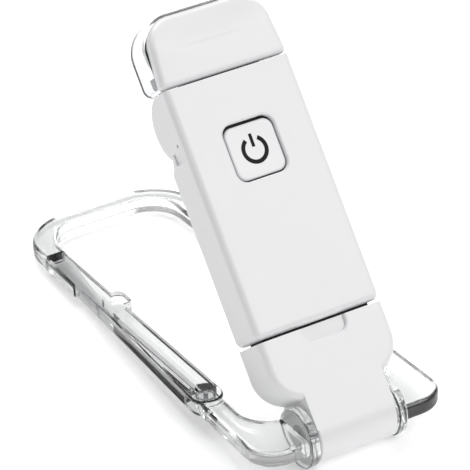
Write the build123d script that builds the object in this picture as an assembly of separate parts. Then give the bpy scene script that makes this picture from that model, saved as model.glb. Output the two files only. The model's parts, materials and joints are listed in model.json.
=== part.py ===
from build123d import *
import math
import os

# Clip-on reading lamp: a slim rechargeable lamp whose USB plug is covered by a pull-off cap.
# The cap turns on an axle between the two discs of a clear carabiner loop with a sprung gate.
# Millimetres. The lamp and the loop are each drawn about the axle, then placed in the row frame.
# Lamp axes: X along the axle, Y up the body, Z out of its front face.
# Loop axes: X along the axle, Y away from the axle along the loop, Z out of its upper face.

# ---- driving dimensions -------------------------------------------------------------------
LAMP_W = 28.0            # width of body, cap and head
FRONT_Z = 5.8            # front face, measured from the axle
BACK_Z = -4.7            # back face, measured from the axle
PARTING_Z = 0.0          # plane where front and back shells meet
WALL = 1.2
EDGE_R = 1.3             # soft long edges of the mouldings

BODY_Y0 = 19.85          # lower end of the body
BODY_Y1 = 70.65          # upper end of the body
BODY_CORNER_R = 1.5
NECK_Y = 64.0            # head hinge axis
NECK_Z = 2.0
LOBE_R = NECK_Z - BACK_Z # the rounded hinge end of the body, tangent to its back
NOTCH_Y0 = 54.9          # groove across the back that the tilted head dips into
NOTCH_Y1 = 58.3
NOTCH_Z = -2.0
SLOT_HALF = 8.5          # slot in the hinge end, for the neck of the head
NECK_HALF = 8.2
NECK_R = 2.3
NECK_PIN_R = 0.9
NECK_PIN_HALF = 11.0
RUNNING = 0.05           # radial clearance of a pin that turns

HEAD_Y0 = 71.0
HEAD_Y1 = 84.8
HEAD_SPLIT_Z = 3.2       # plane where the white cover meets the clear lens
HEAD_CORNER_R = 6.5
LENS_HALF = 13.7
LENS_Y1 = 85.3
LENS_Z = -5.0
LENS_WALL = 1.1

BUTTON_Y = 54.8
BUTTON_HALF = 5.35
BUTTON_R = 1.9
BUTTON_TOP = 5.45        # the key sits a little below the front face
KEY_FOOT = 4.4
BUTTON_GAP = 0.3
SYMBOL_R = 2.42          # middle of the ring
SYMBOL_LINE = 0.95

CAP_Y0 = 6.2
CAP_Y1 = 19.35
CAP_CORNER_R = 7.0
TONGUE_HALF = 8.75       # tongue and barrel, between the discs
BARREL_R = 5.8
GRIP_X = 0.5             # finger recess at the mouth of the cap
GRIP_W = 9.4
GRIP_H = 3.1
GRIP_DEPTH = 0.8

DISC_R = 6.1
DISC_IN = 8.95
DISC_OUT = 10.9
AXLE_R = 1.25
AXLE_HALF = 10.4
AXLE_FLAT = 0.85         # flat on each end of the axle, keyed in the disc
BUSH_R = 2.6
BUSH_LEN = 3.0

PLUG_W = 12.0            # USB type A plug
PLUG_H = 4.5
PLUG_TIP_Y = 7.9
PLUG_Z = 0.55
PLUG_SHEET = 0.35
COLLAR_HALF_W = 12.0     # dark collar that holds the plug in the body's end
COLLAR_HALF_H = 3.5
COLLAR_OUT = 0.9
COLLAR_GAP = 0.3

BOARD_LOW = 0.78
BOARD_TOP = 1.58
CELL_Y0 = 25.2
CELL_Y1 = 50.5
LED_XS = (-7.5, -2.5, 2.5, 7.5)
LED_Y = 79.3

LOOP_T = 3.6
LOOP_LOW = -4.9          # near outer edge of the loop, measured from the axle
LOOP_FAR = 99.3
LOOP_HALF_LOW = 21.65
LOOP_HALF_FAR = 19.0
LOOP_BAR = 5.1
LOOP_CORNER_FAR = 12.0
LOOP_CORNER_LOW = 6.2
INNER_CORNER_FAR = 7.0
INNER_CORNER_LOW = 6.7
LOOP_INNER_LOW = 5.7     # inner edge beside the discs
LOOP_EDGE_R = 1.1

GATE_X = -18.1           # gate pivot
GATE_Y = 21.5
GATE_R = 3.4             # knuckle, and half the width of the gate there
GATE_SEAT = 0.3          # clearance between knuckle and seat
FORK_LOW = -0.95         # slot of the forked knuckle
FORK_HIGH = 1.15
GATE_TIP = 84.6
GATE_TIP_OUT = -18.3     # outer edge of the gate at its tip
LIP_Y = 72.0             # the loop's lip overlaps the outside of the gate down to here
TONGUE_LOW = -0.85       # the loop's hinge tongue inside the forked gate
WIRE_R = 0.2
COIL_R = 1.8
SPRING_TURNS = 1.5
SPRING_LEG = 48.0        # length of the spring's long leg, from the pivot
GROOVE_X = -18.9         # channel along the gate's upper face
GROOVE_HALF = 0.55
GROOVE_Z = 0.1
GATE_PIN_R = 0.5

FOLD_ANGLE = 52.06       # angle between the loop and the back of the lamp, as stored

# ---- derived ------------------------------------------------------------------------------
HALF_W = LAMP_W / 2
LOOP_TILT = math.degrees(math.asin((DISC_R - LOOP_T / 2) / LOOP_FAR))
LEAN = FOLD_ANGLE - LOOP_TILT
AXLE_Y = -(LOOP_FAR - DISC_R) / 2
LAMP_PLACE = Pos(0, AXLE_Y, DISC_R) * Rot(LEAN, 0, 0)
LOOP_PLACE = Pos(0, AXLE_Y, DISC_R) * Rot(-LOOP_TILT, 0, 0)


def block(x0, x1, y0, y1, z0, z1):
    """A plain box between two corners."""
    return Pos((x0 + x1) / 2, (y0 + y1) / 2, (z0 + z1) / 2) * Box(x1 - x0, y1 - y0, z1 - z0)


def rod_x(radius, x0, x1, y=0.0, z=0.0):
    """A round rod along X."""
    return Pos((x0 + x1) / 2, y, z) * Rot(0, 90, 0) * Cylinder(radius, x1 - x0)


def rod_z(radius, x, y, z0, z1):
    """A round rod along Z."""
    return Pos(x, y, (z0 + z1) / 2) * Cylinder(radius, z1 - z0)


def slab(outline, z0, z1):
    """A face drawn on XY, raised from z0 to z1."""
    return extrude(Pos(0, 0, z0) * outline, z1 - z0)


def rounded_block(x0, x1, y0, y1, z0, z1, radius):
    """A box whose four edges along Z are rounded."""
    outline = Pos((x0 + x1) / 2, (y0 + y1) / 2) * RectangleRounded(x1 - x0, y1 - y0, radius)
    return slab(outline, z0, z1)


def polygon(points):
    """A closed face through the points."""
    return make_face(Polyline(*points, close=True))


def corner_at(face, x, y, radius):
    """Round the one corner of a face that is nearest to x, y."""
    vertex = sorted(face.vertices(), key=lambda v: math.hypot(v.X - x, v.Y - y))[0]
    return fillet(vertex, radius)


# ---- body ---------------------------------------------------------------------------------
def body_outer():
    """The outside of the body: a flat bar whose upper end is rounded about the head hinge."""
    foot = (NOTCH_Y1, NECK_Z - math.sqrt(LOBE_R ** 2 - (NECK_Y - NOTCH_Y1) ** 2))
    side = [
        (BODY_Y0, BACK_Z),
        (NOTCH_Y0, BACK_Z),
        (NOTCH_Y0 + 1.5, NOTCH_Z - 0.6),
        (NOTCH_Y0 + 2.3, NOTCH_Z),
        foot,
    ]
    lines = Polyline(*side)
    lobe_mid = (NECK_Y, BACK_Z)
    arc = ThreePointArc(foot, lobe_mid, (NECK_Y + LOBE_R, NECK_Z))
    top = Polyline(
        (NECK_Y + LOBE_R, NECK_Z),
        (BODY_Y1, NECK_Z + 0.4),
        (BODY_Y1, FRONT_Z),
        (BODY_Y0, FRONT_Z),
        (BODY_Y0, BACK_Z),
    )
    profile = make_face(lines + arc + top)
    solid = extrude(Plane.YZ * profile, HALF_W, both=True)
    low_corners = solid.edges().filter_by(Axis.Z).group_by(Axis.Y)[0]
    solid = fillet(low_corners, BODY_CORNER_R)
    long_edges = [e for e in solid.edges().filter_by(Axis.Y) if abs(abs(e.center().X) - HALF_W) < 0.01]
    return fillet(long_edges, EDGE_R)


def neck_slot():
    """The space that the neck of the head sweeps, open above and behind."""
    sweep = rod_x(LOBE_R + 0.6, -SLOT_HALF, SLOT_HALF, NECK_Y, NECK_Z)
    cover = block(-SLOT_HALF, SLOT_HALF, BODY_Y0, BODY_Y1, FRONT_Z - WALL, FRONT_Z + 4)
    lower = block(-SLOT_HALF, SLOT_HALF, BODY_Y0, NOTCH_Y1 + 0.9, BACK_Z - 4, FRONT_Z)
    return sweep - cover - lower


def side_pockets():
    """The shallow snap windows on both sides, beside the groove, each with its small round hole."""
    pockets = []
    for side in (-1, 1):
        face = side * HALF_W
        window = block(face - 0.35, face + 0.35, 56.9, 59.1, -0.5, 2.6)
        hole = rod_x(0.35, face - 0.6, face + 0.6, 60.2, 2.8)
        pockets += [window, hole]
    return pockets


def collar_block(gap, y0, y1):
    """The space of the plug's collar, or the room for it."""
    half_w = COLLAR_HALF_W + gap
    half_h = COLLAR_HALF_H + gap
    return rounded_bar(half_w, PLUG_Z - half_h, PLUG_Z + half_h, y0, y1, 1.0)


def rounded_bar(half_w, z0, z1, y0, y1, radius):
    """A bar along Y with rounded edges."""
    bar = block(-half_w, half_w, y0, y1, z0, z1)
    return fillet(bar.edges().filter_by(Axis.Y), radius)


def front_shell():
    shell = body_outer() & block(-20, 20, 0, 90, PARTING_Z, 20)
    inside = block(-HALF_W + WALL, HALF_W - WALL, BODY_Y0 + WALL, NECK_Y - 2.9, PARTING_Z, FRONT_Z - WALL)
    shell -= fillet(inside.edges().filter_by(Axis.Z), 1.0)
    shell -= neck_slot()
    shell -= rod_x(NECK_PIN_R, -NECK_PIN_HALF, NECK_PIN_HALF, NECK_Y, NECK_Z)
    low = BUTTON_Y - BUTTON_HALF - BUTTON_GAP
    high = BUTTON_Y + BUTTON_HALF + BUTTON_GAP + 0.3
    half = BUTTON_HALF + BUTTON_GAP
    shell -= rounded_block(-half, half, low, high, FRONT_Z - 2 * WALL, FRONT_Z + 1, BUTTON_R + BUTTON_GAP)
    rim = [
        e for e in shell.edges()
        if abs(e.center().Z - FRONT_Z) < 0.01 and low - 0.1 < e.center().Y < high + 0.1
        and abs(e.center().X) < half + 0.1
    ]
    shell = fillet(rim, 0.45)
    for cut in side_pockets():
        shell -= cut
    return shell - collar_block(0.0, BODY_Y0 - 1, BODY_Y0 + WALL + 0.5)


def back_shell():
    shell = body_outer() & block(-20, 20, 0, 90, -20, PARTING_Z)
    floor_z = BACK_Z + WALL
    inside = block(-HALF_W + WALL, HALF_W - WALL, BODY_Y0 + WALL, NOTCH_Y0 - 0.6, floor_z, PARTING_Z)
    shell -= fillet(inside.edges().filter_by(Axis.Z), 1.0)
    shell -= neck_slot()
    for cut in side_pockets():
        shell -= cut
    return shell - collar_block(0.0, BODY_Y0 - 1, BODY_Y0 + WALL + 0.5)


def power_button():
    key = rounded_block(-BUTTON_HALF, BUTTON_HALF, BUTTON_Y - BUTTON_HALF, BUTTON_Y + BUTTON_HALF,
                        KEY_FOOT, BUTTON_TOP, BUTTON_R)
    return fillet(key.edges().group_by(Axis.Z)[-1], 0.25) - power_symbol()


def power_symbol():
    """The power mark let into the key: a broken ring with a short bar in its gap."""
    outer = SYMBOL_R + SYMBOL_LINE / 2
    inner = SYMBOL_R - SYMBOL_LINE / 2
    ring = Circle(outer) - Circle(inner)
    gap = Pos(0, outer) * Rectangle(2.5, 2 * outer - 1.2)
    bar = Pos(0, SYMBOL_R - 0.15) * SlotOverall(2.5, SYMBOL_LINE * 0.82, rotation=90)
    mark = Pos(0, BUTTON_Y) * (ring - gap + bar)
    return slab(mark, BUTTON_TOP - 0.3, BUTTON_TOP)


def switch_plunger():
    """Dark carrier under the key: a flange that keeps the key in, and the plunger."""
    half = BUTTON_HALF + 0.9
    flange = rounded_block(-half, half, BUTTON_Y - half, BUTTON_Y + half, KEY_FOOT - 0.5, KEY_FOOT, BUTTON_R)
    return flange + rod_z(1.5, 0, BUTTON_Y, 2.3, KEY_FOOT - 0.2)


def tact_switch():
    case = rounded_block(-3, 3, BUTTON_Y - 3, BUTTON_Y + 3, BOARD_TOP, 3.1, 0.5)
    return case - rod_z(1.7, 0, BUTTON_Y, BOARD_TOP + 0.25, 3.2)


def main_board():
    board = rounded_block(-11.5, 11.5, 23.2, 60.0, BOARD_LOW, BOARD_TOP, 1.0)
    chip = block(-9.0, -5.0, 30.0, 34.0, BOARD_TOP, BOARD_TOP + 1.0)
    coil = block(3.0, 6.0, 31.0, 34.0, BOARD_TOP, BOARD_TOP + 1.2)
    return board + chip + coil


def charge_led():
    return block(-10.4, -8.8, 57.4, 58.2, BOARD_TOP, BOARD_TOP + 0.6)


def battery_cell():
    cell = block(-10.0, 10.0, CELL_Y0, CELL_Y1, -3.4, 0.5)
    cell = fillet(cell.edges().filter_by(Axis.X), 0.8)
    return cell


def battery_leads():
    leads = []
    for x in (-4.0, -2.0):
        bend_y = CELL_Y1 + 2.4
        path = FilletPolyline((x, CELL_Y1, -1.4), (x, bend_y, -1.4), (x, bend_y, BOARD_LOW), radius=1.4)
        wire = sweep(Plane(origin=(x, CELL_Y1, -1.4), z_dir=(0, 1, 0)) * Circle(0.45), path=path)
        leads.append(wire)
    return Compound(leads)


def usb_plug_shell():
    half_w = PLUG_W / 2
    half_h = PLUG_H / 2
    outer = block(-half_w, half_w, PLUG_TIP_Y, BODY_Y0 + 3.1, PLUG_Z - half_h, PLUG_Z + half_h)
    outer = fillet(outer.edges().filter_by(Axis.Y), 0.5)
    inner = block(-half_w + PLUG_SHEET, half_w - PLUG_SHEET, 0, 40,
                  PLUG_Z - half_h + PLUG_SHEET, PLUG_Z + half_h - PLUG_SHEET)
    shell = outer - inner
    for x in (-3.0, 3.0):
        shell -= block(x - 1.25, x + 1.25, PLUG_TIP_Y + 5.0, PLUG_TIP_Y + 7.2, -9, 9)
    return shell


def plug_collar():
    half_w = PLUG_W / 2
    half_h = PLUG_H / 2
    plug = block(-half_w, half_w, 0, 40, PLUG_Z - half_h, PLUG_Z + half_h)
    plug = fillet(plug.edges().filter_by(Axis.Y), 0.5)
    return collar_block(0.0, BODY_Y0 - COLLAR_OUT, BODY_Y0 + WALL) - plug


def usb_plug_insulator():
    half_w = PLUG_W / 2 - PLUG_SHEET
    top = PLUG_Z + PLUG_H / 2 - PLUG_SHEET
    return block(-half_w, half_w, PLUG_TIP_Y + 0.4, BODY_Y0 + 2.9, BOARD_LOW, top)


def usb_contacts():
    strips = []
    for x in (-3.5, -1.0, 1.0, 3.5):
        strips.append(block(x - 0.5, x + 0.5, PLUG_TIP_Y + 1.2, 24.6, BOARD_LOW - 0.2, BOARD_LOW))
    return Compound(strips)


def neck_pin():
    return rod_x(NECK_PIN_R, -NECK_PIN_HALF, NECK_PIN_HALF, NECK_Y, NECK_Z)


# ---- head ---------------------------------------------------------------------------------
def head_outline(half, y0, y1, top_r, low_r):
    """A bar with large corners at its far end and small ones at the hinge end."""
    face = Pos(0, (y0 + y1) / 2) * Rectangle(2 * half, y1 - y0)
    vertices = face.vertices().sort_by(Axis.Y)
    face = fillet(vertices[2:], top_r)
    low = face.vertices().sort_by(Axis.Y)[:2]
    return fillet(low, low_r)


def head_dome(depth):
    """What lies in front of the domed front: the face runs flat, then bends back to the far end."""
    bend_y = 76.0
    drop = 2.0
    run = HEAD_Y1 - bend_y
    radius = (run ** 2 + drop ** 2) / (2 * drop)
    level = FRONT_Z - depth
    roller = rod_x(radius, -20, 20, bend_y, level - radius)
    ahead = block(-20, 20, bend_y, HEAD_Y1 + 5, level - drop - 3, level + 10)
    return ahead - roller


def head_shell():
    cover = slab(head_outline(HALF_W, HEAD_Y0, HEAD_Y1, HEAD_CORNER_R, 0.5), HEAD_SPLIT_Z, FRONT_Z)
    cover -= head_dome(0.0)
    rim = cover.edges().filter_by(lambda e: e.center().Z > HEAD_SPLIT_Z + 0.2 and e.length > 1.2)
    rim = [e for e in rim if abs(e.center().Y - HEAD_Y0) > 0.3]
    cover = fillet(rim, 0.5)
    hollow = slab(head_outline(HALF_W - WALL, HEAD_Y0 + WALL, HEAD_Y1 - WALL, HEAD_CORNER_R - WALL, 0.3),
                  HEAD_SPLIT_Z - 1, FRONT_Z - WALL)
    hollow -= head_dome(WALL)
    neck_gate = block(-NECK_HALF, NECK_HALF, HEAD_Y0 - 1, HEAD_Y0 + 2, HEAD_SPLIT_Z - 1, 4.0)
    return cover - hollow - neck_gate


def head_lens():
    lens = slab(head_outline(LENS_HALF, HEAD_Y0 + 0.05, LENS_Y1, HEAD_CORNER_R + 0.4, 2.0),
                LENS_Z, HEAD_SPLIT_Z)
    lens = fillet(lens.edges().group_by(Axis.Z)[0], 1.2)
    hollow = slab(head_outline(LENS_HALF - LENS_WALL, HEAD_Y0 + LENS_WALL, LENS_Y1 - LENS_WALL,
                               HEAD_CORNER_R - 0.7, 1.0), LENS_Z + LENS_WALL, HEAD_SPLIT_Z + 1)
    neck_gate = block(-NECK_HALF, NECK_HALF, HEAD_Y0 - 1, HEAD_Y0 + 2, 0.0, HEAD_SPLIT_Z + 1)
    return lens - hollow - neck_gate


def hinge_neck():
    """The dark neck under the head, with the knuckle that turns on the neck pin."""
    neck = block(-NECK_HALF, NECK_HALF, NECK_Y, HEAD_Y0 + 3.0, 0.0, 4.0)
    neck = neck + rod_x(NECK_R, -NECK_HALF, NECK_HALF, NECK_Y, NECK_Z)
    return neck - rod_x(NECK_PIN_R + RUNNING, -20, 20, NECK_Y, NECK_Z)


def head_chassis():
    """The plate that carries the lamp board, with a latch block in each corner by the hinge."""
    room = slab(head_outline(LENS_HALF - LENS_WALL - 0.1, HEAD_Y0 + LENS_WALL + 0.1,
                             LENS_Y1 - LENS_WALL - 0.1, HEAD_CORNER_R - 0.7, 0.9), -5, 5)
    cover_room = slab(head_outline(HALF_W - WALL - 0.1, HEAD_Y0 + WALL + 0.1, HEAD_Y1 - WALL - 1.0,
                                   HEAD_CORNER_R - WALL, 0.4), -5, 5)
    plate = block(-20, 20, 60, 90, 2.3, 3.1)
    for side in (-1, 1):
        middle = side * (LENS_HALF - LENS_WALL - 1.5)
        plate += block(middle - 1.2, middle + 1.2, HEAD_Y0, HEAD_Y0 + 3.2, -0.6, 2.6)
    return (plate & room & cover_room) - block(-NECK_HALF, NECK_HALF, 60, HEAD_Y0 + 3.0, -1, 5)


def reflector():
    """The white tray round the lamps, open towards the lens."""
    tray = rounded_block(-11.2, 11.2, 74.6, 83.2, -1.6, 2.3, 3.6)
    for x in LED_XS:
        cone = Pos(x, LED_Y, -0.7) * Cone(2.35, 1.9, 2.6)
        tray -= cone
    board_room = block(-10.6, 10.6, 75.2, 82.6, 0.6, 2.4)
    return tray - board_room


def led_board():
    return block(-10.5, 10.5, 75.3, 82.5, 1.5, 2.3)


def leds():
    chips = []
    for x in LED_XS:
        chips.append(block(x - 1.4, x + 1.4, LED_Y - 1.4, LED_Y + 1.4, 0.7, 1.5))
    return Compound(chips)


# ---- cap ----------------------------------------------------------------------------------
def usb_cap():
    outline = Pos(0, (CAP_Y0 + CAP_Y1) / 2) * Rectangle(LAMP_W, CAP_Y1 - CAP_Y0)
    outline = fillet(outline.vertices().sort_by(Axis.Y)[:2], CAP_CORNER_R)
    cap = slab(outline, BACK_Z, FRONT_Z)
    rims = [
        e for e in cap.edges()
        if abs(e.center().Z - BACK_Z) < 0.01 or abs(e.center().Z - FRONT_Z) < 0.01
    ]
    rims = [e for e in rims if abs(e.center().Y - CAP_Y1) > 0.1 and abs(e.center().Y - CAP_Y0) > 0.1]
    cap = fillet(rims, EDGE_R)
    tongue = block(-TONGUE_HALF, TONGUE_HALF, 0, CAP_Y0 + 1.5, BACK_Z, FRONT_Z)
    barrel = rod_x(BARREL_R, -TONGUE_HALF, TONGUE_HALF)
    barrel = fillet(barrel.edges(), 0.5)
    cap = cap + tongue + barrel
    cap -= rod_x(DISC_R + 0.3, TONGUE_HALF, 20)
    cap -= rod_x(DISC_R + 0.3, -20, -TONGUE_HALF)
    half_w = PLUG_W / 2 + 0.3
    half_h = PLUG_H / 2 + 0.3
    cap -= block(-half_w, half_w, PLUG_TIP_Y - 0.5, CAP_Y1 + 1, PLUG_Z - half_h, PLUG_Z + half_h)
    cap -= collar_block(COLLAR_GAP, CAP_Y1 - COLLAR_OUT - 0.1, CAP_Y1 + 1)
    grip = Pos(GRIP_X, CAP_Y1) * RectangleRounded(GRIP_W, 2 * GRIP_H, 2.0)
    cap -= slab(grip, FRONT_Z - GRIP_DEPTH, FRONT_Z + 1)
    rim = [
        e for e in cap.edges()
        if abs(e.center().Z - FRONT_Z) < 0.01 and abs(e.center().X - GRIP_X) < GRIP_W / 2 + 0.1
        and CAP_Y1 - GRIP_H - 0.1 < e.center().Y < CAP_Y1 - 0.1
    ]
    cap = fillet(rim, 0.45)
    cap -= rod_x(AXLE_R + 0.4, -20, 20)
    for x0, x1 in bush_spans():
        cap -= rod_x(BUSH_R, x0, x1)
    return cap


def bush_spans():
    return ((-TONGUE_HALF, -TONGUE_HALF + BUSH_LEN), (TONGUE_HALF - BUSH_LEN, TONGUE_HALF))


def friction_bushes():
    bushes = []
    for x0, x1 in bush_spans():
        bushes.append(rod_x(BUSH_R, x0, x1) - rod_x(AXLE_R + RUNNING, x0 - 1, x1 + 1))
    return Compound(bushes)


def keyed_axle(gap):
    """The axle, or the hole for it: round, with a flat at both ends that keeps the discs in line."""
    axle = rod_x(AXLE_R + gap, -AXLE_HALF - gap, AXLE_HALF + gap)
    for side in (-1, 1):
        middle = side * (DISC_IN + 5)
        axle -= block(middle - 5, middle + 5, -3, 3, AXLE_FLAT + gap, 3)
    return axle


def axle_pin():
    return keyed_axle(0.0)


# ---- clear loop and gate ------------------------------------------------------------------
def half_width_at(y, low, far):
    """Half width of a tapered outline at a height y, between its low and far values."""
    share = (y - LOOP_LOW) / (LOOP_FAR - LOOP_LOW)
    return low + (far - low) * share


def tapered(low_y, far_y, half_low, half_far, low_r, far_r):
    face = polygon([(-half_low, low_y), (half_low, low_y), (half_far, far_y), (-half_far, far_y)])
    for x, y, r in ((-half_low, low_y, low_r), (half_low, low_y, low_r),
                    (half_far, far_y, far_r), (-half_far, far_y, far_r)):
        face = corner_at(face, x, y, r)
    return face


def loop_body():
    """The whole ring with soft edges, before the gate side is opened."""
    outer = tapered(LOOP_LOW, LOOP_FAR, LOOP_HALF_LOW, LOOP_HALF_FAR, LOOP_CORNER_LOW, LOOP_CORNER_FAR)
    inner_far = LOOP_FAR - LOOP_BAR
    in_low = half_width_at(LOOP_INNER_LOW, LOOP_HALF_LOW, LOOP_HALF_FAR) - LOOP_BAR
    in_far = half_width_at(inner_far, LOOP_HALF_LOW, LOOP_HALF_FAR) - LOOP_BAR
    inner = tapered(LOOP_INNER_LOW, inner_far, in_low, in_far, INNER_CORNER_LOW, INNER_CORNER_FAR)
    ring = slab(outer - inner, -LOOP_T / 2, LOOP_T / 2)
    rims = [e for e in ring.edges() if abs(abs(e.center().Z) - LOOP_T / 2) < 0.01]
    return fillet(rims, LOOP_EDGE_R)


def lip_line(y):
    """Outer edge of the gate, and inner face of the loop's lip, at a height y."""
    share = (y - GATE_Y) / (GATE_TIP - GATE_Y)
    return GATE_X - GATE_R + share * (GATE_TIP_OUT - (GATE_X - GATE_R))


def open_loop():
    frame = loop_body()
    frame -= block(-DISC_IN, DISC_IN, -20, LOOP_INNER_LOW + 0.5, -9, 9)
    gate_room = polygon([
        (-30, GATE_Y - 6), (-8, GATE_Y - 6), (-8, GATE_TIP + 0.4), (lip_line(GATE_TIP) - 0.3, GATE_TIP + 0.4),
        (lip_line(LIP_Y) - 0.3, LIP_Y), (-30, LIP_Y),
    ])
    horn = Pos(GATE_X, GATE_Y - 20) * Rectangle(40, 40)
    seat = slab(gate_room - horn, -9, 9) + rod_z(GATE_R + GATE_SEAT, GATE_X, GATE_Y, -9, 9)
    frame -= seat
    tongue = slab(Pos(GATE_X, GATE_Y - 2.5) * SlotOverall(10.0, 4.6, rotation=90), TONGUE_LOW, 0.0)
    frame += tongue & block(-30, 0, GATE_Y - 6, GATE_Y + 3, -9, 9)
    frame -= rod_z(GATE_PIN_R, GATE_X, GATE_Y, -9, 9)
    for x0, x1 in ((-DISC_OUT, -DISC_IN), (DISC_IN, DISC_OUT)):
        disc = rod_x(DISC_R, x0, x1)
        frame += fillet(disc.edges(), 0.35)
    return frame - keyed_axle(0.02)


def foot_room():
    """The space of the short arm between the left disc and the gate."""
    return block(-40, -5, -20, LIP_Y - 20, -20, 20)


def clip_frame():
    """The long arm of the loop: right disc, right side, far end and lip."""
    return open_loop() - foot_room()


def clip_foot():
    """The short arm of the loop: left disc and the seat of the gate."""
    return open_loop() & foot_room()


def gate():
    """The sprung side of the loop: a forked knuckle, a grooved bar and a thin stepped tip."""
    tip_in = GATE_X + GATE_R
    bar = polygon([
        (GATE_X - GATE_R, GATE_Y), (tip_in, GATE_Y), (tip_in, GATE_TIP), (GATE_TIP_OUT, GATE_TIP),
    ])
    nub = Pos(tip_in, 62.0) * RectangleRounded(4.4, 5.8, 1.9)
    outline = bar + Pos(GATE_X, GATE_Y) * Circle(GATE_R) + nub
    lever = slab(outline, -LOOP_T / 2, LOOP_T / 2)
    rims = [e for e in lever.edges() if abs(abs(e.center().Z) - LOOP_T / 2) < 0.01 and e.length > 1.0]
    lever = fillet(rims, 0.5)
    lever -= rod_z(GATE_R + 0.4, GATE_X, GATE_Y, FORK_LOW, FORK_HIGH)
    lever -= rod_z(GATE_PIN_R + RUNNING, GATE_X, GATE_Y, -9, 9)
    left = GROOVE_X - GROOVE_HALF
    lever -= block(left, GROOVE_X + GROOVE_HALF, GATE_Y + 1, 60.0, GROOVE_Z, 9)
    pocket = polygon([
        (left, 58.0), (GROOVE_X + GROOVE_HALF, 58.0), (-17.3, 66.0), (-16.3, 74.0), (-15.35, 80.0),
        (-15.2, 90.0), (left + 0.6, 90.0), (left + 0.2, 74.0),
    ])
    lever -= slab(pocket, GROOVE_Z, 9)
    side = polygon([(GATE_Y + 2.8, -1.35), (GATE_Y + 2.8, 0.45), (GATE_Y + 45.0, -0.45), (GATE_Y + 45.0, -0.75)])
    slot = extrude(Plane.YZ * side, 60, both=True) & block(-30, GROOVE_X - 0.9, 0, 90, -9, 9)
    return lever - slot


def gate_pin():
    pin = rod_z(GATE_PIN_R, GATE_X, GATE_Y, -LOOP_T / 2, LOOP_T / 2)
    return pin


def gate_spring():
    """Torsion spring: one wire, coiled on the tongue round the pin and then led up the channel."""
    pitch = 2 * WIRE_R + 0.04
    rise = pitch * SPRING_TURNS
    coil = Helix(pitch=pitch, height=rise, radius=COIL_R)
    channel = GROOVE_X - GATE_X
    leg = FilletPolyline(
        (-COIL_R, 0, rise),
        (-COIL_R, -0.6, rise),
        (channel, -3.4, rise),
        (channel, -SPRING_LEG, rise),
        radius=1.2,
    )
    route = Wire([coil] + list(leg.edges()))
    wire = sweep(Plane(origin=coil @ 0, z_dir=coil % 0) * Circle(WIRE_R), path=route, is_frenet=True)
    return Pos(GATE_X, GATE_Y, WIRE_R + 0.04) * mirror(wire, about=Plane.XZ)


LAMP_NODES = {
    "front_shell": front_shell,
    "back_shell": back_shell,
    "tact_switch": tact_switch,
    "main_board": main_board,
    "charge_led": charge_led,
    "battery_cell": battery_cell,
    "battery_leads": battery_leads,
    "usb_plug_shell": usb_plug_shell,
    "plug_collar": plug_collar,
    "usb_plug_insulator": usb_plug_insulator,
    "usb_contacts": usb_contacts,
    "neck_pin": neck_pin,
    "power_button": power_button,
    "power_symbol": power_symbol,
    "switch_plunger": switch_plunger,
    "head_shell": head_shell,
    "head_lens": head_lens,
    "hinge_neck": hinge_neck,
    "head_chassis": head_chassis,
    "reflector": reflector,
    "led_board": led_board,
    "leds": leds,
    "usb_cap": usb_cap,
    "friction_bushes": friction_bushes,
}
LOOP_NODES = {
    "clip_frame": clip_frame,
    "clip_foot": clip_foot,
    "axle_pin": axle_pin,
    "gate": gate,
    "gate_pin": gate_pin,
    "gate_spring": gate_spring,
}

os.makedirs("parts", exist_ok=True)
for nodes, place in ((LAMP_NODES, LAMP_PLACE), (LOOP_NODES, LOOP_PLACE)):
    for name, make in nodes.items():
        export_step(place * make(), "parts/" + name + ".step")
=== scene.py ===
import json
import math

import bpy
import numpy as np
from mathutils import Matrix, Vector


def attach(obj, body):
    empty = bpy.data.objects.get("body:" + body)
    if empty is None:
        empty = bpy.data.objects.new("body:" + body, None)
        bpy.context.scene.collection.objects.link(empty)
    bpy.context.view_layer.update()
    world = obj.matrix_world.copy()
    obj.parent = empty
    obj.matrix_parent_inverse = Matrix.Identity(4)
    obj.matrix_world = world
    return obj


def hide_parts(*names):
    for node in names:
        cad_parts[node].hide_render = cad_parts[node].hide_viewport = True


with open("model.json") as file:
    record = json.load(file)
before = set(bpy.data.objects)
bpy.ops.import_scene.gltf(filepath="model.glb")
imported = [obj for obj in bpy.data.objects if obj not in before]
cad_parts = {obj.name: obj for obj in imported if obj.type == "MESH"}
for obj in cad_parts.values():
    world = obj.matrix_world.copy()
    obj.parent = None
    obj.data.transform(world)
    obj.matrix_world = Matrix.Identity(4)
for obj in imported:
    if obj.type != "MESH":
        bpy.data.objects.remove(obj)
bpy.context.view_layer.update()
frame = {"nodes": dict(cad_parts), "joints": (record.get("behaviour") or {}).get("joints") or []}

JOINTS = {joint["name"]: joint for joint in frame["joints"]}
MM = 0.001

# ---- places and radii in millimetres, in the lamp's or the loop's own axes ------------------
COVER_SPLIT_Z = 3.22     # where the cover meets the clear housing
COVER_FRONT_Z = 5.8
COVER_LOW_Y = 71.0
COVER_HIGH_Y = 84.7
COVER_LOW_R = 0.9        # corners at the hinge end
COVER_HIGH_R = 6.3       # corners at the far end
COVER_EDGE_R = 1.0       # soft edge round the front
DOME_LINE_Y = 76.3       # where the dome starts on the middle line
DOME_LINE_RISE = 3.2     # how much later it starts at the sides
KEY_Y = 54.8
KEY_TOP_Z = 5.45
KEY_FOOT_Z = 4.41
KEY_CORNER_R = 1.9
KEY_EDGE_R = 0.35
MARK_PROUD = 0.025       # the print stands this far above the dish
MARK_DEPTH = 0.35
MARK_BAR = (0.55, 3.2)   # ends of the bar, from the middle of the key
MARK_GAP = math.radians(32)
GATE_PIVOT = (-18.1, 21.5)
COIL_BASE_Z = 0.24
COIL_PITCH = 0.44
COIL_TURNS = 1.5
LEG_X = -0.8             # the leg's place in the channel, from the pivot
LEG_SETTLE = 3.4         # length over which the leg swings into the channel
LEG_LENGTH = 48.0
LEAD_XS = (-4.0, -2.0)
LEAD_START = (50.5, -1.4)
LEAD_END_Z = 0.77
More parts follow.
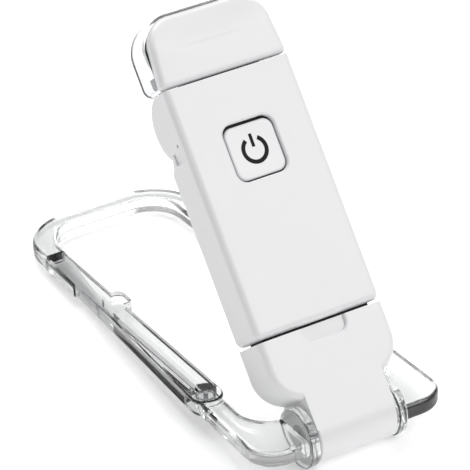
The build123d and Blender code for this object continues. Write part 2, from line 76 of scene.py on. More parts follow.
LEAD_BEND_R = 1.4
LEAD_REACH = 2.4
FLOOR_HALF = 4.0         # metres

bl_info = {
    "name": "Clip-on reading lamp",
    "version": (1, 0, 0),
    "blender": (4, 5, 0),
    "location": "View3D > Sidebar > Reading lamp",
    "description": "Finishes and detailed pieces for a rechargeable reading lamp on a clear loop",
    "category": "Add Mesh",
}


# ---- places: the lamp's and the loop's own axes, both about the axle ------------------------
def own_axes(up, out):
    """A matrix whose Y is the first direction, whose Z is the second, and which stands on the axle."""
    y_axis = Vector(up).normalized()
    z_axis = Vector(out).normalized()
    x_axis = y_axis.cross(z_axis)
    turn = Matrix((x_axis, y_axis, z_axis)).transposed().to_4x4()
    return Matrix.Translation(Vector(JOINTS["clip_fold"]["pos_m"])) @ turn


def lamp_axes():
    """Y runs up the lamp's body and Z out of its front face."""
    return own_axes(JOINTS["cap_pull"]["axis"], -Vector(JOINTS["button_press"]["axis"]))


def loop_axes():
    """Z points out of the loop's upper face and Y away from the axle."""
    out = -Vector(JOINTS["gate_open"]["axis"])
    return own_axes(out.cross(Vector((1, 0, 0))), out)


# ---- sizes and colours that a user would change ----------------------------------------------
class LampSizes(bpy.types.PropertyGroup):
    """Sizes of the detailed pieces, in millimetres unless they say otherwise."""

    cover_half: bpy.props.FloatProperty(
        name="Cover half width", description="Half width of the head cover at its hinge end",
        default=13.95)
    cover_half_far: bpy.props.FloatProperty(
        name="Cover half width, far", description="Half width of the head cover at its far end",
        default=13.3)
    cover_wall: bpy.props.FloatProperty(
        name="Cover wall", description="Wall thickness of the head cover", default=1.1)
    cover_drop: bpy.props.FloatProperty(
        name="Cover drop", description="How far the domed end of the cover falls back", default=1.9)
    key_half: bpy.props.FloatProperty(
        name="Key half width", description="Half the side of the square power key", default=5.35)
    key_dish: bpy.props.FloatProperty(
        name="Key dish", description="Depth of the finger dish in the key", default=0.16)
    mark_radius: bpy.props.FloatProperty(
        name="Mark radius", description="Middle radius of the ring in the power mark", default=2.45)
    mark_line: bpy.props.FloatProperty(
        name="Mark line", description="Line width of the power mark", default=0.84)
    wire_radius: bpy.props.FloatProperty(
        name="Spring wire radius", description="Radius of the gate spring's wire", default=0.2)
    coil_radius: bpy.props.FloatProperty(
        name="Spring coil radius", description="Middle radius of the gate spring's coil", default=1.8)
    lead_radius: bpy.props.FloatProperty(
        name="Lead radius", description="Radius of the cell's two leads", default=0.45)


class LampColours(bpy.types.PropertyGroup):
    """Colours of the finishes."""

    white: bpy.props.FloatVectorProperty(
        name="White", description="Body, cap, key and head cover", subtype="COLOR", size=3,
        default=(0.80, 0.80, 0.81))
    clear: bpy.props.FloatVectorProperty(
        name="Clear", description="Tint of the clear loop, gate and lens", subtype="COLOR", size=3,
        default=(0.955, 0.968, 0.962))
    mark: bpy.props.FloatVectorProperty(
        name="Mark", description="Print of the power mark", subtype="COLOR", size=3,
        default=(0.012, 0.012, 0.013))
    steel: bpy.props.FloatVectorProperty(
        name="Steel", description="Pins and spring", subtype="COLOR", size=3, default=(0.36, 0.36, 0.38))
    phosphor: bpy.props.FloatVectorProperty(
        name="Phosphor", description="Coating of the lamps", subtype="COLOR", size=3,
        default=(0.86, 0.74, 0.24))
    floor: bpy.props.FloatVectorProperty(
        name="Floor", description="Floor under the lamp", subtype="COLOR", size=3,
        default=(0.93, 0.93, 0.93))


class LampView(bpy.types.PropertyGroup):
    """Camera, set from a point near the middle of the lamp."""

    azimuth: bpy.props.FloatProperty(
        name="Azimuth", description="Camera direction, from the lamp's front", subtype="ANGLE",
        default=math.radians(-30.66))
    elevation: bpy.props.FloatProperty(
        name="Elevation", description="Camera height angle", subtype="ANGLE",
        default=math.radians(32.63))
    roll: bpy.props.FloatProperty(
        name="Roll", description="Camera roll", subtype="ANGLE", default=math.radians(-1.17))
    distance: bpy.props.FloatProperty(
        name="Distance", description="Camera distance", subtype="DISTANCE", default=0.690)
    aim: bpy.props.FloatVectorProperty(
        name="Aim", description="Point the camera looks at", subtype="TRANSLATION", size=3,
        default=(-0.0004, -0.0076, 0.0278))
    lens: bpy.props.FloatProperty(name="Lens", description="Focal length in millimetres", default=268.1)


# ---- numpy surfaces ---------------------------------------------------------------------------
def put_mesh(name, shells, axes, body, slot, material, *nodes):
    """Makes one object from closed shells. A shell is an array of rings (rings, points, 3), in
    millimetres in the given axes. Neighbouring rings are joined by quads, and the first and the
    last ring are each closed with a fan round their middle point."""
    verts = []
    faces = []
    start = 0
    for rings in shells:
        count, around = rings.shape[:2]
        body_points = rings.reshape(-1, 3)
        poles = np.stack([rings[0].mean(0), rings[-1].mean(0)])
        verts.append(np.vstack([body_points, poles]))
        row = np.arange(count - 1)[:, None] * around
        col = np.arange(around)[None, :]
        nxt = (col + 1) % around
        quads = np.stack([row + col, row + nxt, row + around + nxt, row + around + col], -1)
        quads = quads.reshape(-1, 4)
        ring = np.arange(around)
        after = (ring + 1) % around
        last = (count - 1) * around
        low = np.stack([after, ring, np.full(around, count * around)], -1)
        high = np.stack([last + ring, last + after, np.full(around, count * around + 1)], -1)
        faces += (quads + start).tolist() + (low + start).tolist() + (high + start).tolist()
        start += count * around + 2
    points = np.vstack(verts) * MM
    matrix = np.array(axes)
    points = points @ matrix[:3, :3].T + matrix[:3, 3]
    mesh = bpy.data.meshes.new(name)
    mesh.from_pydata(points.tolist(), [], faces)
    mesh.validate()
    mesh.shade_smooth()
    mesh.set_sharp_from_angle(angle=math.radians(38))
    mesh.materials.append(bpy.data.materials[material])
    piece = bpy.data.objects.new(name, mesh)
    bpy.context.scene.collection.objects.link(piece)
    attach(piece, body)
    if nodes:
        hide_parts(*nodes)
    return piece


def rounded_outline(half_low, half_high, y_low, y_high, r_low, r_high, steps=14, flat=16):
    """A closed ring of points (x, y): four straight sides joined by quarter circles. The sides
    taper from half_low at y_low to half_high at y_high. It runs anticlockwise seen from +Z."""
    corners = np.array([
        (half_low - r_low, y_low + r_low, r_low, -90.0),
        (half_high - r_high, y_high - r_high, r_high, 0.0),
        (-half_high + r_high, y_high - r_high, r_high, 90.0),
        (-half_low + r_low, y_low + r_low, r_low, 180.0),
    ])
    turn = np.radians(corners[:, 3, None] + np.linspace(0.0, 90.0, steps)[None, :])
    x = corners[:, 0, None] + corners[:, 2, None] * np.cos(turn)
    y = corners[:, 1, None] + corners[:, 2, None] * np.sin(turn)
    arcs = np.stack([x, y], -1)
    ends = np.roll(arcs[:, 0], -1, axis=0)
    share = np.linspace(0.0, 1.0, flat + 1)[1:-1, None]
    runs = arcs[:, -1][:, None, :] * (1 - share) + ends[:, None, :] * share
    return np.concatenate([arcs, runs], axis=1).reshape(-1, 2)


def shrunk(outline, inset, middle):
    """The outline moved towards its middle so that its widest point comes in by the inset."""
    reach = np.abs(outline - middle).max(0)
    return middle + (outline - middle) * (1 - inset[:, None, None] / reach)


def dished(xy, sizes):
    """Height of the key's dish: deepest in the middle, rising with the square of the distance."""
    reach = np.linalg.norm(xy - np.array([0.0, KEY_Y]), axis=-1) / sizes.key_half
    return KEY_TOP_Z - sizes.key_dish * np.clip(1 - reach ** 2, 0.0, None)


def tube(path, normals, radius, around=20):
    """A round tube along a path: each ring is the path's point plus the radius times the cosine of
    an angle along the normal and its sine along the binormal. Its ends close on the path."""
    tangents = np.gradient(path, axis=0)
    tangents /= np.linalg.norm(tangents, axis=1, keepdims=True)
    normals = normals - (normals * tangents).sum(1, keepdims=True) * tangents
    normals /= np.linalg.norm(normals, axis=1, keepdims=True)
    binormals = np.cross(tangents, normals)
    turn = np.linspace(0.0, 2 * math.pi, around, endpoint=False)
    along_normal = np.cos(turn)[None, :, None] * normals[:, None]
    along_binormal = np.sin(turn)[None, :, None] * binormals[:, None]
    return path[:, None] + radius * (along_normal + along_binormal)


# ---- shader groups ----------------------------------------------------------------------------
def new_group(name, inputs, outputs):
    """An empty shader group with float inputs (name, default) and outputs (name, kind)."""
    tree = bpy.data.node_groups.new(name, "ShaderNodeTree")
    for label, value in inputs:
        socket = tree.interface.new_socket(name=label, in_out="INPUT", socket_type="NodeSocketFloat")
        socket.default_value = value
    for label, kind in outputs:
        tree.interface.new_socket(name=label, in_out="OUTPUT", socket_type=kind)
    return tree, tree.nodes.new("NodeGroupInput"), tree.nodes.new("NodeGroupOutput")


def moulded_grain():
    """Spark-eroded grain: fine noise for height, and a slow noise for how shiny the skin came out."""
    tree, ins, outs = new_group(
        "Moulded grain", [("Grain", 9000.0), ("Sheen low", 0.3), ("Sheen high", 0.42)],
        [("Height", "NodeSocketFloat"), ("Roughness", "NodeSocketFloat"), ("Mottle", "NodeSocketFloat")])
    place = tree.nodes.new("ShaderNodeTexCoord")
    fine = tree.nodes.new("ShaderNodeTexNoise")
    fine.inputs["Detail"].default_value = 3.0
    slow = tree.nodes.new("ShaderNodeTexNoise")
    slow.inputs["Scale"].default_value = 90.0
    slow.inputs["Detail"].default_value = 4.0
    level = tree.nodes.new("ShaderNodeMapRange")
    tree.links.new(place.outputs["Object"], fine.inputs["Vector"])
    tree.links.new(place.outputs["Object"], slow.inputs["Vector"])
    tree.links.new(ins.outputs["Grain"], fine.inputs["Scale"])
    tree.links.new(slow.outputs["Fac"], level.inputs["Value"])
    tree.links.new(ins.outputs["Sheen low"], level.inputs["To Min"])
    tree.links.new(ins.outputs["Sheen high"], level.inputs["To Max"])
    tree.links.new(fine.outputs["Fac"], outs.inputs["Height"])
    tree.links.new(level.outputs["Result"], outs.inputs["Roughness"])
    tree.links.new(slow.outputs["Fac"], outs.inputs["Mottle"])
    return tree


def drawn_metal():
    """Draw marks: noise stretched along the piece, for height and roughness."""
    tree, ins, outs = new_group(
        "Drawn metal", [("Scale", 2500.0), ("Rough low", 0.18), ("Rough high", 0.38)],
        [("Height", "NodeSocketFloat"), ("Roughness", "NodeSocketFloat")])
    place = tree.nodes.new("ShaderNodeTexCoord")
    stretch = tree.nodes.new("ShaderNodeMapping")
    stretch.inputs["Scale"].default_value = (0.06, 1.0, 1.0)
    marks = tree.nodes.new("ShaderNodeTexNoise")
    marks.inputs["Detail"].default_value = 5.0
    level = tree.nodes.new("ShaderNodeMapRange")
    tree.links.new(place.outputs["Object"], stretch.inputs["Vector"])
    tree.links.new(stretch.outputs["Vector"], marks.inputs["Vector"])
    tree.links.new(ins.outputs["Scale"], marks.inputs["Scale"])
    tree.links.new(marks.outputs["Fac"], level.inputs["Value"])
    tree.links.new(ins.outputs["Rough low"], level.inputs["To Min"])
    tree.links.new(ins.outputs["Rough high"], level.inputs["To Max"])
    tree.links.new(marks.outputs["Fac"], outs.inputs["Height"])
    tree.links.new(level.outputs["Result"], outs.inputs["Roughness"])
    return tree


def painted_shade_region():
    """Mask of a box in the loop's axes where shade is painted into the colour: 1 where all three distances
    from its middle are inside.
    """
    sides = [(label + axis, 0.0) for label in ("Middle ", "Half ") for axis in "XYZ"]
    tree, ins, outs = new_group("Etched region", sides, [("Mask", "NodeSocketFloat")])
    place = tree.nodes.new("ShaderNodeTexCoord")
    own = tree.nodes.new("ShaderNodeMapping")
    own.vector_type = "TEXTURE"
    axes = loop_axes()
    own.inputs["Location"].default_value = axes.to_translation()
    own.inputs["Rotation"].default_value = axes.to_euler()
    own.inputs["Scale"].default_value = (MM, MM, MM)
    split = tree.nodes.new("ShaderNodeSeparateXYZ")
    tree.links.new(place.outputs["Object"], own.inputs["Vector"])
    tree.links.new(own.outputs["Vector"], split.inputs["Vector"])
    inside = None
    for axis in "XYZ":
        test = tree.nodes.new("ShaderNodeMath")
        test.operation = "COMPARE"
        tree.links.new(split.outputs[axis], test.inputs[0])
        tree.links.new(ins.outputs["Middle " + axis], test.inputs[1])
        tree.links.new(ins.outputs["Half " + axis], test.inputs[2])
        if inside is None:
            inside = test.outputs[0]
            continue
        both = tree.nodes.new("ShaderNodeMath")
        both.operation = "MULTIPLY"
        tree.links.new(inside, both.inputs[0])
        tree.links.new(test.outputs[0], both.inputs[1])
        inside = both.outputs[0]
    tree.links.new(inside, outs.inputs["Mask"])
    return tree


def new_material(name, group, settings):
    """A material with one Principled shader and one placed group. Returns them with a bump node."""
    material = bpy.data.materials.new(name)
    material.use_nodes = True
    tree = material.node_tree
    shader = tree.nodes["Principled BSDF"]
    effect = tree.nodes.new("ShaderNodeGroup")
    effect.node_tree = bpy.data.node_groups[group]
    for label, value in settings.items():
        effect.inputs[label].default_value = value
    bump = tree.nodes.new("ShaderNodeBump")
    tree.links.new(effect.outputs["Height"], bump.inputs["Height"])
    tree.links.new(bump.outputs["Normal"], shader.inputs["Normal"])
    tree.links.new(effect.outputs["Roughness"], shader.inputs["Roughness"])
    return tree, shader, effect, bump


def tinted(tree, shader, factor, low, high):
    """Base colour runs from low to high with the factor."""
    mix = tree.nodes.new("ShaderNodeMix")
    mix.data_type = "RGBA"
    mix.inputs[6].default_value = (*low, 1.0)
    mix.inputs[7].default_value = (*high, 1.0)
    tree.links.new(factor, mix.inputs[0])
    tree.links.new(mix.outputs[2], shader.inputs["Base Color"])


def plastic(name, colour, low, high, grain, depth, change=0.035, shine=0.5):
    """Moulded plastic: fine grain, a slow change of sheen and a slight change of shade."""
    tree, shader, effect, bump = new_material(
        name, "Moulded grain", {"Grain": grain, "Sheen low": low, "Sheen high": high})
    bump.inputs["Strength"].default_value = 0.35
    bump.inputs["Distance"].default_value = depth
    dark = tuple(c * (1 - change) for c in colour)
    tinted(tree, shader, effect.outputs["Mottle"], dark, tuple(colour))
    shader.inputs["IOR"].default_value = 1.52
    shader.inputs["Specular IOR Level"].default_value = shine


def metal(name, colour, low, high, scale):
    """Drawn or plated metal with fine marks along X."""
    tree, shader, effect, bump = new_material(
        name, "Drawn metal", {"Scale": scale, "Rough low": low, "Rough high": high})
    bump.inputs["Strength"].default_value = 0.25
    bump.inputs["Distance"].default_value = 0.00002
    tinted(tree, shader, effect.outputs["Height"], tuple(c * 0.85 for c in colour), tuple(colour))
    shader.inputs["Metallic"].default_value = 1.0


def clear_resin(name, colour, low, high, depth, painted_shade_boxes=()):
    """Clear moulded resin: it transmits, with a slow ripple left by the mould in its skin. Each painted
    shade box is a box in the loop's axes, in millimetres, whose surfaces get a darker colour painted on as
    shade."""
    tree, shader, effect, bump = new_material(
        name, "Moulded grain", {"Grain": 420.0, "Sheen low": low, "Sheen high": high})
    bump.inputs["Strength"].default_value = 0.5
    bump.inputs["Distance"].default_value = depth
    shader.inputs["Base Color"].default_value = (*colour, 1.0)
    shader.inputs["Transmission Weight"].default_value = 1.0
    shader.inputs["IOR"].default_value = 1.56
    current = None
    # Painted shade: inside each box the base colour runs to the darker colour given with it.
    for lowest, highest, shade in painted_shade_boxes:
        region = tree.nodes.new("ShaderNodeGroup")
        region.node_tree = bpy.data.node_groups["Etched region"]
        middle = [(a + b) / 2 for a, b in zip(lowest, highest)]
        half = [(b - a) / 2 for a, b in zip(lowest, highest)]
        for axis, at, reach in zip("XYZ", middle, half):
            region.inputs["Middle " + axis].default_value = at
            region.inputs["Half " + axis].default_value = reach
        mix = tree.nodes.new("ShaderNodeMix")
        mix.data_type = "RGBA"
        mix.inputs[6].default_value = (*colour, 1.0)
        mix.inputs[7].default_value = (*shade, 1.0)
        tree.links.new(region.outputs["Mask"], mix.inputs[0])
        if current:
            tree.links.new(current, mix.inputs[6])
        current = mix.outputs[2]
    if current:
        tree.links.new(current, shader.inputs["Base Color"])


# ---- operators --------------------------------------------------------------------------------
CAD_FINISH = {
    "front_shell": "White shell",
    "back_shell": "White shell",
    "usb_cap": "White shell",
    "hinge_neck": "Black acetal",
    "head_chassis": "Grey acetal",
    "plug_collar": "Black acetal",
    "friction_bushes": "Grey acetal",
    "switch_plunger": "Black acetal",
    "tact_switch": "Switch case",
    "clip_frame": "Clear frame",
    "clip_foot": "Clear loop",
    "gate": "Clear gate",
    "head_lens": "Clear lens",
    "axle_pin": "Drawn steel",
    "gate_pin": "Drawn steel",
    "neck_pin": "Drawn steel",
    "usb_plug_shell": "Nickel plate",
    "usb_contacts": "Gold contacts",
    "usb_plug_insulator": "Insulator",
    "charge_led": "Phosphor",
    "leds": "Phosphor",
    "main_board": "Green board",
    "led_board": "White board",
    "battery_cell": "Pouch foil",
    "reflector": "White reflector",
}


class READINGLAMP_OT_finishes(bpy.types.Operator):
    """Makes the finishes and puts them on the pieces whose shape stays as it came"""

    bl_idname = "reading_lamp.finishes"
    bl_label = "Finishes"

    def execute(self, context):
        colours = context.scene.reading_lamp_colours
        moulded_grain()
        drawn_metal()
        painted_shade_region()
        plastic("White shell", colours.white, 0.30, 0.40, 9000.0, 0.00001, 0.02)
        plastic("White key", colours.white, 0.26, 0.34, 12000.0, 0.000008, 0.02)
        plastic("Black print", colours.mark, 0.45, 0.6, 12000.0, 0.000008, shine=0.12)
        plastic("Grey acetal", (0.33, 0.33, 0.35), 0.4, 0.55, 7000.0, 0.00001)
        plastic("Black acetal", (0.010, 0.010, 0.011), 0.5, 0.65, 7000.0, 0.00001, shine=0.2)
        plastic("Switch case", (0.03, 0.03, 0.032), 0.45, 0.6, 7000.0, 0.00001)
        plastic("Insulator", (0.82, 0.82, 0.80), 0.45, 0.6, 7000.0, 0.00001)
        plastic("Green board", (0.02, 0.13, 0.05), 0.25, 0.4, 3000.0, 0.00002, 0.35)
        plastic("White board", (0.80, 0.80, 0.77), 0.3, 0.45, 5000.0, 0.00001, 0.08)
        plastic("White reflector", (0.86, 0.86, 0.85), 0.12, 0.2, 9000.0, 0.000004)
        plastic("Phosphor", colours.phosphor, 0.5, 0.7, 9000.0, 0.00002, 0.15)
        plastic("Red lead", (0.35, 0.02, 0.02), 0.4, 0.55, 6000.0, 0.00001)
        metal("Drawn steel", colours.steel, 0.2, 0.35, 2500.0)
        metal("Nickel plate", (0.66, 0.64, 0.60), 0.16, 0.28, 1600.0)
        metal("Gold contacts", (0.85, 0.62, 0.25), 0.2, 0.3, 2000.0)
        metal("Pouch foil", (0.60, 0.61, 0.63), 0.3, 0.5, 500.0)
        clear_resin("Clear loop", colours.clear, 0.05, 0.14, 0.00002)
        clear_resin("Clear frame", colours.clear, 0.05, 0.14, 0.00002, (
            # Painted reflection and shade: the nose's end face is coloured lilac grey.
            ((-18.9, 84.9, -1.0), (-14.5, 85.1, 1.75), (0.30, 0.29, 0.36)),
        ))
        clear_resin("Clear gate", colours.clear, 0.03, 0.08, 0.00002, (
            # Painted shade: the spring's groove in the gate's top face is coloured grey.
            ((-19.47, 22.4, 0.05), (-15.15, 84.9, 1.62), (0.36, 0.36, 0.37)),
            # Painted shade: the slot in the gate's outer side is coloured near black.
            ((-30.0, 24.2, -1.4), (-19.79, 66.6, 0.5), (0.012, 0.012, 0.012)),
        ))
        clear_resin("Clear lens", (0.86, 0.87, 0.88), 0.02, 0.05, 0.00001)
        for node, finish in CAD_FINISH.items():
            mesh = frame["nodes"][node].data
            mesh.materials.clear()
            mesh.materials.append(bpy.data.materials[finish])
        return {"FINISHED"}


class READINGLAMP_OT_head_cover(bpy.types.Operator):
    """Head cover: a thin shell whose front runs flat, then domes back to its rounded far end"""

    bl_idname = "reading_lamp.head_cover"
    bl_label = "Head cover"

    def execute(self, context):
        sizes = context.scene.reading_lamp_sizes
        outline = rounded_outline(
            sizes.cover_half, sizes.cover_half_far, COVER_LOW_Y, COVER_HIGH_Y, COVER_LOW_R, COVER_HIGH_R,
            18, 26)
        middle = np.array([0.0, (COVER_LOW_Y + COVER_HIGH_Y) / 2])
        deepest = (COVER_HIGH_Y - COVER_LOW_Y) / 2 - 0.01

        def crown(xy, depth):
            """Height of the front at (x, y): flat below a line that rises to the sides, and behind
            it falling with the distance past the line, at first gently and then faster."""
            across = xy[..., 0] / sizes.cover_half
            line = DOME_LINE_Y + DOME_LINE_RISE * across ** 2
            past = np.clip((xy[..., 1] - line) / (COVER_HIGH_Y - DOME_LINE_Y), 0.0, None)
            side = 0.25 * np.abs(across) ** 6
            fall = sizes.cover_drop * (0.3 * past + 0.7 * past ** 2)
            return COVER_FRONT_Z - depth - fall - side

        bend = np.linspace(0.0, math.pi / 2, 8)
        spread = np.concatenate([np.linspace(deepest, 1.3, 26), [COVER_EDGE_R]])
        outer = shrunk(outline, spread, middle)
        outer = np.dstack([outer, crown(outer, 0.0)])
        rim = shrunk(outline, COVER_EDGE_R * (1 - np.sin(bend))[1:], middle)
        rim_z = crown(rim, 0.0) - COVER_EDGE_R * (1 - np.cos(bend))[1:, None]
        rim = np.dstack([rim, rim_z])
        wall = shrunk(outline, np.array([0.0, 0.0, 0.12, sizes.cover_wall]), middle)
        top = rim_z[-1]
        low = COVER_SPLIT_Z + 0.1
        wall_z = np.stack([(top + low) / 2, np.full(len(top), low),
                           np.full(len(top), COVER_SPLIT_Z), np.full(len(top), COVER_SPLIT_Z)])
        wall = np.dstack([wall, wall_z])
        inset = np.concatenate([[sizes.cover_wall], np.linspace(1.2, deepest, 16)])
        under = shrunk(outline, inset, middle)
        under_z = np.maximum(crown(under, sizes.cover_wall), COVER_SPLIT_Z + 0.02)
        under = np.dstack([under, under_z])
        rings = np.concatenate([outer, rim, wall, under])
        put_mesh("HeadCover", [rings], lamp_axes(), "head", "white", "White shell", "head_shell")
        return {"FINISHED"}


class READINGLAMP_OT_power_key(bpy.types.Operator):
    """Power key: a square cap with a soft edge and a shallow dish for the finger"""

    bl_idname = "reading_lamp.power_key"
    bl_label = "Power key"

    def execute(self, context):
        sizes = context.scene.reading_lamp_sizes
        half = sizes.key_half
        outline = rounded_outline(half, half, KEY_Y - half, KEY_Y + half, KEY_CORNER_R, KEY_CORNER_R, 12, 14)
        middle = np.array([0.0, KEY_Y])
        face = shrunk(outline, np.linspace(half - 0.05, 0.45, 26), middle)
        face_z = dished(face, sizes)
        bend = np.linspace(0.0, math.pi / 2, 8)[1:]
        edge = shrunk(outline, KEY_EDGE_R * (1 - np.sin(bend)), middle)
        edge_z = np.repeat((KEY_TOP_Z - KEY_EDGE_R * (1 - np.cos(bend)))[:, None], len(outline), 1)
        skirt = shrunk(outline, np.array([0.0, 0.1, half - 0.1]), middle)
        levels = np.array([KEY_FOOT_Z + 0.1, KEY_FOOT_Z, KEY_FOOT_Z])
        skirt_z = np.repeat(levels[:, None], len(outline), 1)
        rings = np.concatenate([np.dstack([face, face_z]), np.dstack([edge, edge_z]),
                                np.dstack([skirt, skirt_z])])
        put_mesh("PowerKey", [rings], lamp_axes(), "button", "white", "White key", "power_button")
        return {"FINISHED"}


class READINGLAMP_OT_power_mark(bpy.types.Operator):
    """Power mark: a broken ring and a short bar, let into the dish of the key"""

    bl_idname = "reading_lamp.power_mark"
    bl_label = "Power mark"

    def execute(self, context):
        sizes = context.scene.reading_lamp_sizes
        half = sizes.mark_line / 2

        def strip(path, normals, half):
            """A flat strip along a path, its rings rectangles across the path that follow the dish."""
            width = half * np.array([-1.0, 1.0, 1.0, -1.0])
            xy = path[:, None] + width[None, :, None] * normals[:, None]
            drop = np.array([0.0, 0.0, MARK_DEPTH, MARK_DEPTH])
            return np.dstack([xy, dished(xy, sizes) + MARK_PROUD - drop[None, :]])

        turn = np.linspace(math.pi / 2 + MARK_GAP, 5 * math.pi / 2 - MARK_GAP, 60)
        out = np.stack([np.cos(turn), np.sin(turn)], -1)
        ring = strip(np.array([0.0, KEY_Y]) + sizes.mark_radius * out, out, half)
        rise = np.linspace(*MARK_BAR, 10)
        bar = strip(np.stack([0 * rise, KEY_Y + rise], -1), np.repeat([[1.0, 0.0]], 10, 0), 0.8 * half)
        put_mesh("PowerMark", [ring[::-1], bar], lamp_axes(), "button", "black", "Black print",
                 "power_symbol")
        return {"FINISHED"}


class READINGLAMP_OT_gate_spring(bpy.types.Operator):
    """Gate spring: one and a half turns of wire on the pivot, then a straight leg up the groove"""

    bl_idname = "reading_lamp.gate_spring"
    bl_label = "Gate spring"

    def execute(self, context):
        sizes = context.scene.reading_lamp_sizes
        coil_r = sizes.coil_radius
        turn = np.linspace(0.0, 2 * math.pi * COIL_TURNS, 110)
        radial = np.stack([np.cos(turn), -np.sin(turn), 0 * turn], -1)
        climb = COIL_PITCH * turn / (2 * math.pi)
        coil = coil_r * radial + np.stack([0 * turn, 0 * turn, climb], -1)
        run = np.concatenate([np.linspace(0.1, LEG_SETTLE, 30), np.linspace(LEG_SETTLE + 1, LEG_LENGTH, 50)])
        share = np.clip(run / LEG_SETTLE, 0.0, 1.0)
        ease = share * share * (3 - 2 * share)
        leg = np.stack([-coil_r + (LEG_X + coil_r) * ease, run, np.full(len(run), climb[-1])], -1)
        path = np.concatenate([coil, leg]) + np.array([*GATE_PIVOT, COIL_BASE_Z])
        normals = np.concatenate([radial, np.repeat(radial[-1:], len(run), 0)])
        wire = tube(path, normals, sizes.wire_radius)
        put_mesh("GateSpring", [wire], loop_axes(), "gate", "steel", "Drawn steel", "gate_spring")
        return {"FINISHED"}


class READINGLAMP_OT_cell_leads(bpy.types.Operator):
    """Cell leads: two insulated wires from the end of the cell, each bent up to the board"""

    bl_idname = "reading_lamp.cell_leads"
    bl_label = "Cell leads"

    def execute(self, context):
        radius = context.scene.reading_lamp_sizes.lead_radius
        y0, z0 = LEAD_START
        straight = LEAD_REACH - LEAD_BEND_R
        turn = np.linspace(-math.pi / 2, 0.0, 16)
        arc_y = y0 + straight + LEAD_BEND_R * np.cos(turn)
        arc_z = z0 + LEAD_BEND_R + LEAD_BEND_R * np.sin(turn)
        y = np.concatenate([np.linspace(y0, y0 + straight, 6)[:-1], arc_y, np.full(5, y0 + LEAD_REACH)])
        z = np.concatenate([np.full(5, z0), arc_z, np.linspace(z0 + LEAD_BEND_R, LEAD_END_Z, 6)[1:]])
        sides = np.repeat([[1.0, 0.0, 0.0]], len(y), 0)
        shells = [tube(np.stack([np.full(len(y), x), y, z], -1), sides, radius) for x in LEAD_XS]
        put_mesh("CellLeads", shells, lamp_axes(), "lamp", "wire", "Red lead", "battery_leads")
        return {"FINISHED"}


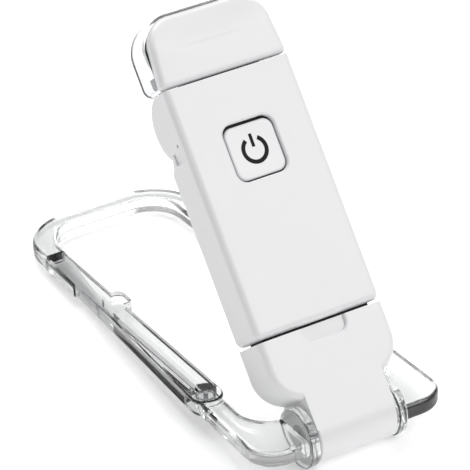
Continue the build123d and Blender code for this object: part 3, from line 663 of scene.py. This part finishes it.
class READINGLAMP_OT_stage(bpy.types.Operator):
    """Stage: a pale floor, soft lights and the camera"""

    bl_idname = "reading_lamp.stage"
    bl_label = "Stage"

    def execute(self, context):
        scene = context.scene
        colours = scene.reading_lamp_colours
        view = scene.reading_lamp_view
        self.floor(scene, colours.floor)
        lights = (
            ("Key light", (0.60, -0.85, 1.0), 0.8, 7.3),
            ("Top light", (0.15, 0.75, 1.25), 1.0, 13.0),
        )
        for name, place, width, power in lights:
            self.light(scene, name, Vector(place), width, power)
        self.surroundings(scene)
        scene.view_settings.view_transform = "Standard"
        self.camera(scene, view)
        return {"FINISHED"}

    def surroundings(self, scene):
        """A studio that is dim near the horizon and brighter overhead."""
        world = bpy.data.worlds.new("Studio")
        world.use_nodes = True
        tree = world.node_tree
        place = tree.nodes.new("ShaderNodeTexCoord")
        split = tree.nodes.new("ShaderNodeSeparateXYZ")
        level = tree.nodes.new("ShaderNodeMapRange")
        level.inputs["From Min"].default_value = 0.0
        level.inputs["From Max"].default_value = 0.8
        level.inputs["To Min"].default_value = 0.18
        level.inputs["To Max"].default_value = 0.53
        tree.links.new(place.outputs["Generated"], split.inputs["Vector"])
        tree.links.new(split.outputs["Z"], level.inputs["Value"])
        tree.links.new(level.outputs["Result"], tree.nodes["Background"].inputs["Strength"])
        tree.nodes["Background"].inputs["Color"].default_value = (1.0, 1.0, 1.0, 1.0)
        scene.world = world

    def floor(self, scene, colour):
        """A flat square under the object, wide enough for every view."""
        half = FLOOR_HALF
        corners = [(-half, -half, 0.0), (half, -half, 0.0), (half, half, 0.0), (-half, half, 0.0)]
        mesh = bpy.data.meshes.new("Floor")
        mesh.from_pydata(corners, [], [(0, 1, 2, 3)])
        material = bpy.data.materials.new("Pale floor")
        material.use_nodes = True
        shader = material.node_tree.nodes["Principled BSDF"]
        shader.inputs["Base Color"].default_value = (*colour, 1.0)
        shader.inputs["Roughness"].default_value = 0.9
        shader.inputs["Specular IOR Level"].default_value = 0.1
        shader.inputs["Emission Color"].default_value = (1.0, 1.0, 1.0, 1.0)
        shader.inputs["Emission Strength"].default_value = 0.28
        mesh.materials.append(material)
        plane = bpy.data.objects.new("Floor", mesh)
        scene.collection.objects.link(plane)

    def light(self, scene, name, place, width, power):
        """A square soft box that faces the middle of the lamp."""
        lamp = bpy.data.lights.new(name, "AREA")
        lamp.size = width
        lamp.energy = power
        box = bpy.data.objects.new(name, lamp)
        scene.collection.objects.link(box)
        box.location = place
        box.rotation_euler = (Vector((0.0, 0.0, 0.03)) - place).to_track_quat("-Z", "Y").to_euler()

    def camera(self, scene, view):
        """A camera at an azimuth, elevation and distance from the aim point, with a slight roll."""
        camera = bpy.data.cameras.new("Camera")
        camera.lens = view.lens
        camera.sensor_width = 36.0
        camera.clip_end = 20.0
        eye = bpy.data.objects.new("Camera", camera)
        scene.collection.objects.link(eye)
        away = Vector((
            math.sin(view.azimuth) * math.cos(view.elevation),
            -math.cos(view.azimuth) * math.cos(view.elevation),
            math.sin(view.elevation),
        ))
        turn = (-away).to_track_quat("-Z", "Y").to_matrix().to_4x4()
        place = Matrix.Translation(Vector(view.aim) + away * view.distance)
        eye.matrix_world = place @ turn @ Matrix.Rotation(view.roll, 4, "Z")
        scene.camera = eye


PIECE_OPERATORS = (
    READINGLAMP_OT_finishes,
    READINGLAMP_OT_head_cover,
    READINGLAMP_OT_power_key,
    READINGLAMP_OT_power_mark,
    READINGLAMP_OT_gate_spring,
    READINGLAMP_OT_cell_leads,
    READINGLAMP_OT_stage,
)


class READINGLAMP_PT_panel(bpy.types.Panel):
    """Lists the pieces, sizes and colours in the sidebar"""

    bl_idname = "READINGLAMP_PT_panel"
    bl_label = "Reading lamp"
    bl_space_type = "VIEW_3D"
    bl_region_type = "UI"
    bl_category = "Reading lamp"

    def draw(self, context):
        layout = self.layout
        scene = context.scene
        for operator in PIECE_OPERATORS:
            layout.operator(operator.bl_idname)
        for group in (scene.reading_lamp_sizes, scene.reading_lamp_colours, scene.reading_lamp_view):
            box = layout.box()
            for name in group.bl_rna.properties.keys():
                if name not in {"rna_type", "name"}:
                    box.prop(group, name)


CLASSES = (LampSizes, LampColours, LampView, *PIECE_OPERATORS, READINGLAMP_PT_panel)


def register():
    for item in CLASSES:
        bpy.utils.register_class(item)
    bpy.types.Scene.reading_lamp_sizes = bpy.props.PointerProperty(type=LampSizes)
    bpy.types.Scene.reading_lamp_colours = bpy.props.PointerProperty(type=LampColours)
    bpy.types.Scene.reading_lamp_view = bpy.props.PointerProperty(type=LampView)


def unregister():
    del bpy.types.Scene.reading_lamp_view
    del bpy.types.Scene.reading_lamp_colours
    del bpy.types.Scene.reading_lamp_sizes
    for item in reversed(CLASSES):
        bpy.utils.unregister_class(item)


def main():
    register()
    bpy.ops.reading_lamp.finishes()
    bpy.ops.reading_lamp.head_cover()
    bpy.ops.reading_lamp.power_key()
    bpy.ops.reading_lamp.power_mark()
    bpy.ops.reading_lamp.gate_spring()
    bpy.ops.reading_lamp.cell_leads()
    bpy.ops.reading_lamp.stage()


if __name__ == "__main__":
    main()
